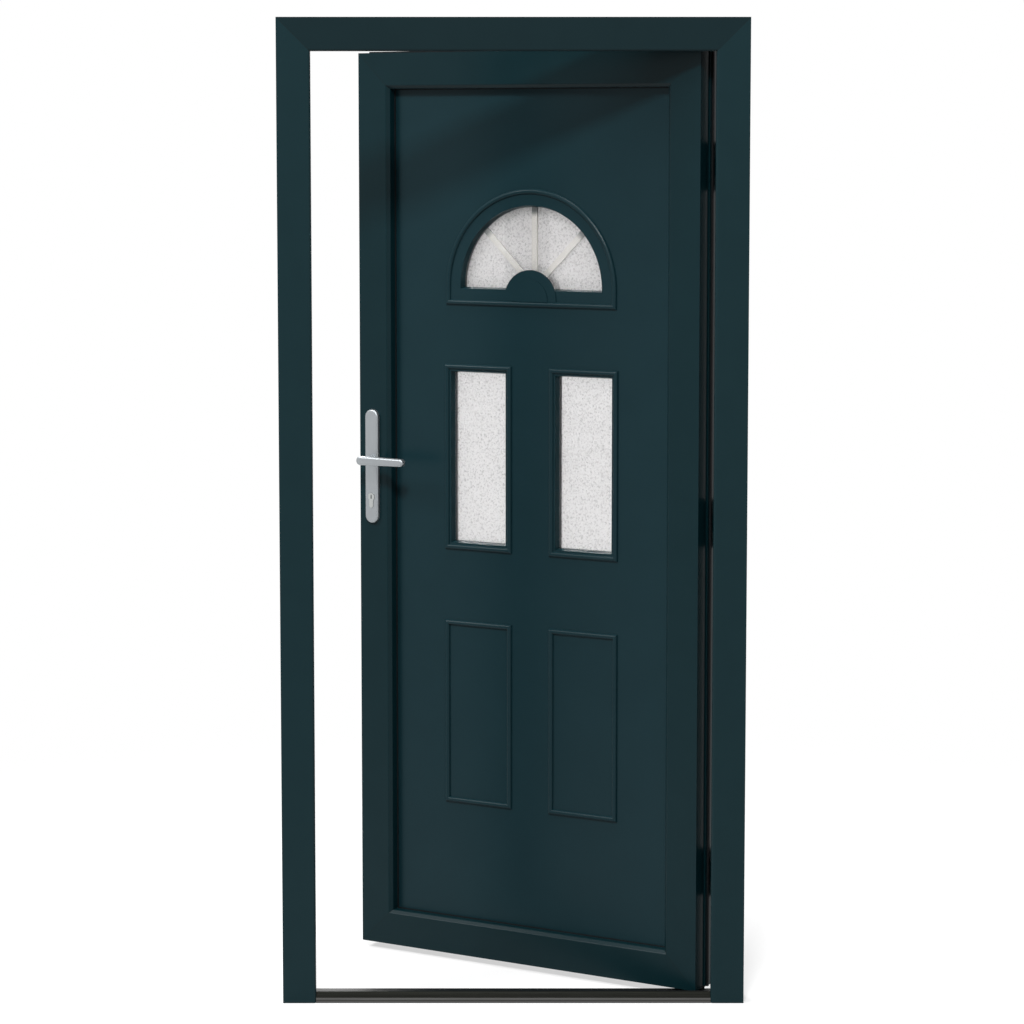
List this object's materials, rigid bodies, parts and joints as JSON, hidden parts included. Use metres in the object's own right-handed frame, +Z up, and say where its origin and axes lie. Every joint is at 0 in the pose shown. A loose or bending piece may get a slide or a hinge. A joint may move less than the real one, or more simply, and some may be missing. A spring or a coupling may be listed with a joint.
{
  "type": "panelled front door with frame",
  "caption": "Inward-opening panelled PVC front door in its frame, with fanlight and upright windows over blind mouldings, lever handle, multipoint lock, hinges and a low ribbed threshold.",
  "frame": {"origin": "centre of the threshold's underside, halfway through the frame's depth", "axes": "+X towards the hinge side as seen from outdoors, +Y indoors, +Z up"},
  "size_m": [0.98, 0.5727, 2.08],
  "materials": {
    "green_pvc": "dark green-grey, satin",
    "galvanised_steel": "zinc coated",
    "dark_aluminium": "anodised dark grey",
    "black_rubber": "soft black",
    "stainless_steel": "brushed",
    "nickel": "satin nickel",
    "silver_handle": "anodised silver",
    "hinge_coat": "coated to match the frame",
    "textured_glass": "pebbled ornamental glass",
    "clear_glass": "clear float glass",
    "spacer_aluminium": "bare",
    "white_bars": "off-white"
  },
  "bodies": {
    "frame": {"left_jamb": "green_pvc", "right_jamb": "green_pvc", "head": "green_pvc", "frame_steels": "galvanised_steel", "threshold": "dark_aluminium", "frame_seal": "black_rubber", "strike_plate": "stainless_steel", "bolt_keeps": "stainless_steel", "hinge_pins": "stainless_steel", "lower_hinge_frame_wing": "hinge_coat", "middle_hinge_frame_wing": "hinge_coat", "upper_hinge_frame_wing": "hinge_coat"},
    "leaf": {"arch_bars": "white_bars", "arch_inner_frame": "green_pvc", "arch_inner_pane": "textured_glass", "arch_outer_frame": "green_pvc", "arch_outer_pane": "clear_glass", "arch_spacer": "spacer_aluminium", "bolt_boxes": "stainless_steel", "bottom_rail": "green_pvc", "bottom_rail_bead": "green_pvc", "bottom_seal": "black_rubber", "cylinder_body": "nickel", "door_panel": "green_pvc", "handle_screws": "stainless_steel", "hinge_stile": "green_pvc", "hinge_stile_bead": "green_pvc", "inner_handle_plate": "silver_handle", "leaf_seal": "black_rubber", "leaf_steels": "galvanised_steel", "left_window_inner_frame": "green_pvc", "left_window_outer_frame": "green_pvc", "lock_case": "stainless_steel", "lock_faceplate": "stainless_steel", "lock_stile": "green_pvc", "lock_stile_bead": "green_pvc", "lower_hinge_leaf_wing": "hinge_coat", "middle_hinge_leaf_wing": "hinge_coat", "outer_handle_plate": "silver_handle", "panel_seal": "black_rubber", "right_window_inner_frame": "green_pvc", "right_window_outer_frame": "green_pvc", "top_rail": "green_pvc", "top_rail_bead": "green_pvc", "upper_hinge_leaf_wing": "hinge_coat", "window_inner_panes": "textured_glass", "window_outer_panes": "clear_glass", "window_spacers": "spacer_aluminium"},
    "handle": {"outer_lever": "silver_handle", "inner_lever": "silver_handle", "spindle": "stainless_steel", "lock_follower": "stainless_steel"},
    "key": {"cylinder_plugs": "nickel", "cylinder_cam": "nickel"},
    "latch": {"latch": "stainless_steel"},
    "deadbolt": {"deadbolt": "stainless_steel"},
    "upper_bolt": {"upper_bolt": "stainless_steel"},
    "lower_bolt": {"lower_bolt": "stainless_steel"}
  },
  "joints": [
    {"name": "leaf_swing", "type": "hinge", "parent": "frame", "child": "leaf", "pos_m": [0.438, 0.057, 1.016], "axis": [0, 0, -1], "range_deg": [-31, 79]},
    {"name": "handle_turn", "type": "hinge", "parent": "leaf", "child": "handle", "pos_m": [-0.29457, 0.44934, 1.118], "axis": [0.515, 0.8572, 0], "range_deg": [0, 40], "stiffness_Nm_per_rad": 2, "springref_deg": -17.19},
    {"name": "latch_slide", "type": "slide", "parent": "leaf", "child": "latch", "axis": [0.8572, -0.515, 0], "range_m": [0, 0.012]},
    {"name": "key_turn", "type": "hinge", "parent": "leaf", "child": "key", "pos_m": [-0.29457, 0.44934, 1.033], "axis": [0.515, 0.8572, 0], "range_deg": [0, 360]},
    {"name": "deadbolt_throw", "type": "slide", "parent": "leaf", "child": "deadbolt", "axis": [-0.8572, 0.515, 0], "range_m": [0, 0.02]},
    {"name": "upper_bolt_throw", "type": "slide", "parent": "leaf", "child": "upper_bolt", "axis": [-0.8572, 0.515, 0], "range_m": [0, 0.02]},
    {"name": "lower_bolt_throw", "type": "slide", "parent": "leaf", "child": "lower_bolt", "axis": [-0.8572, 0.515, 0], "range_m": [0, 0.02]}
  ],
  "couplings": [
    {"joint": "latch_slide", "follows": "handle_turn", "m_per_rad": 0.01718},
    {"joint": "key_turn", "follows": "deadbolt_throw", "rad_per_m": 314.1},
    {"joint": "upper_bolt_throw", "follows": "deadbolt_throw", "ratio": 1},
    {"joint": "lower_bolt_throw", "follows": "deadbolt_throw", "ratio": 1}
  ]
}
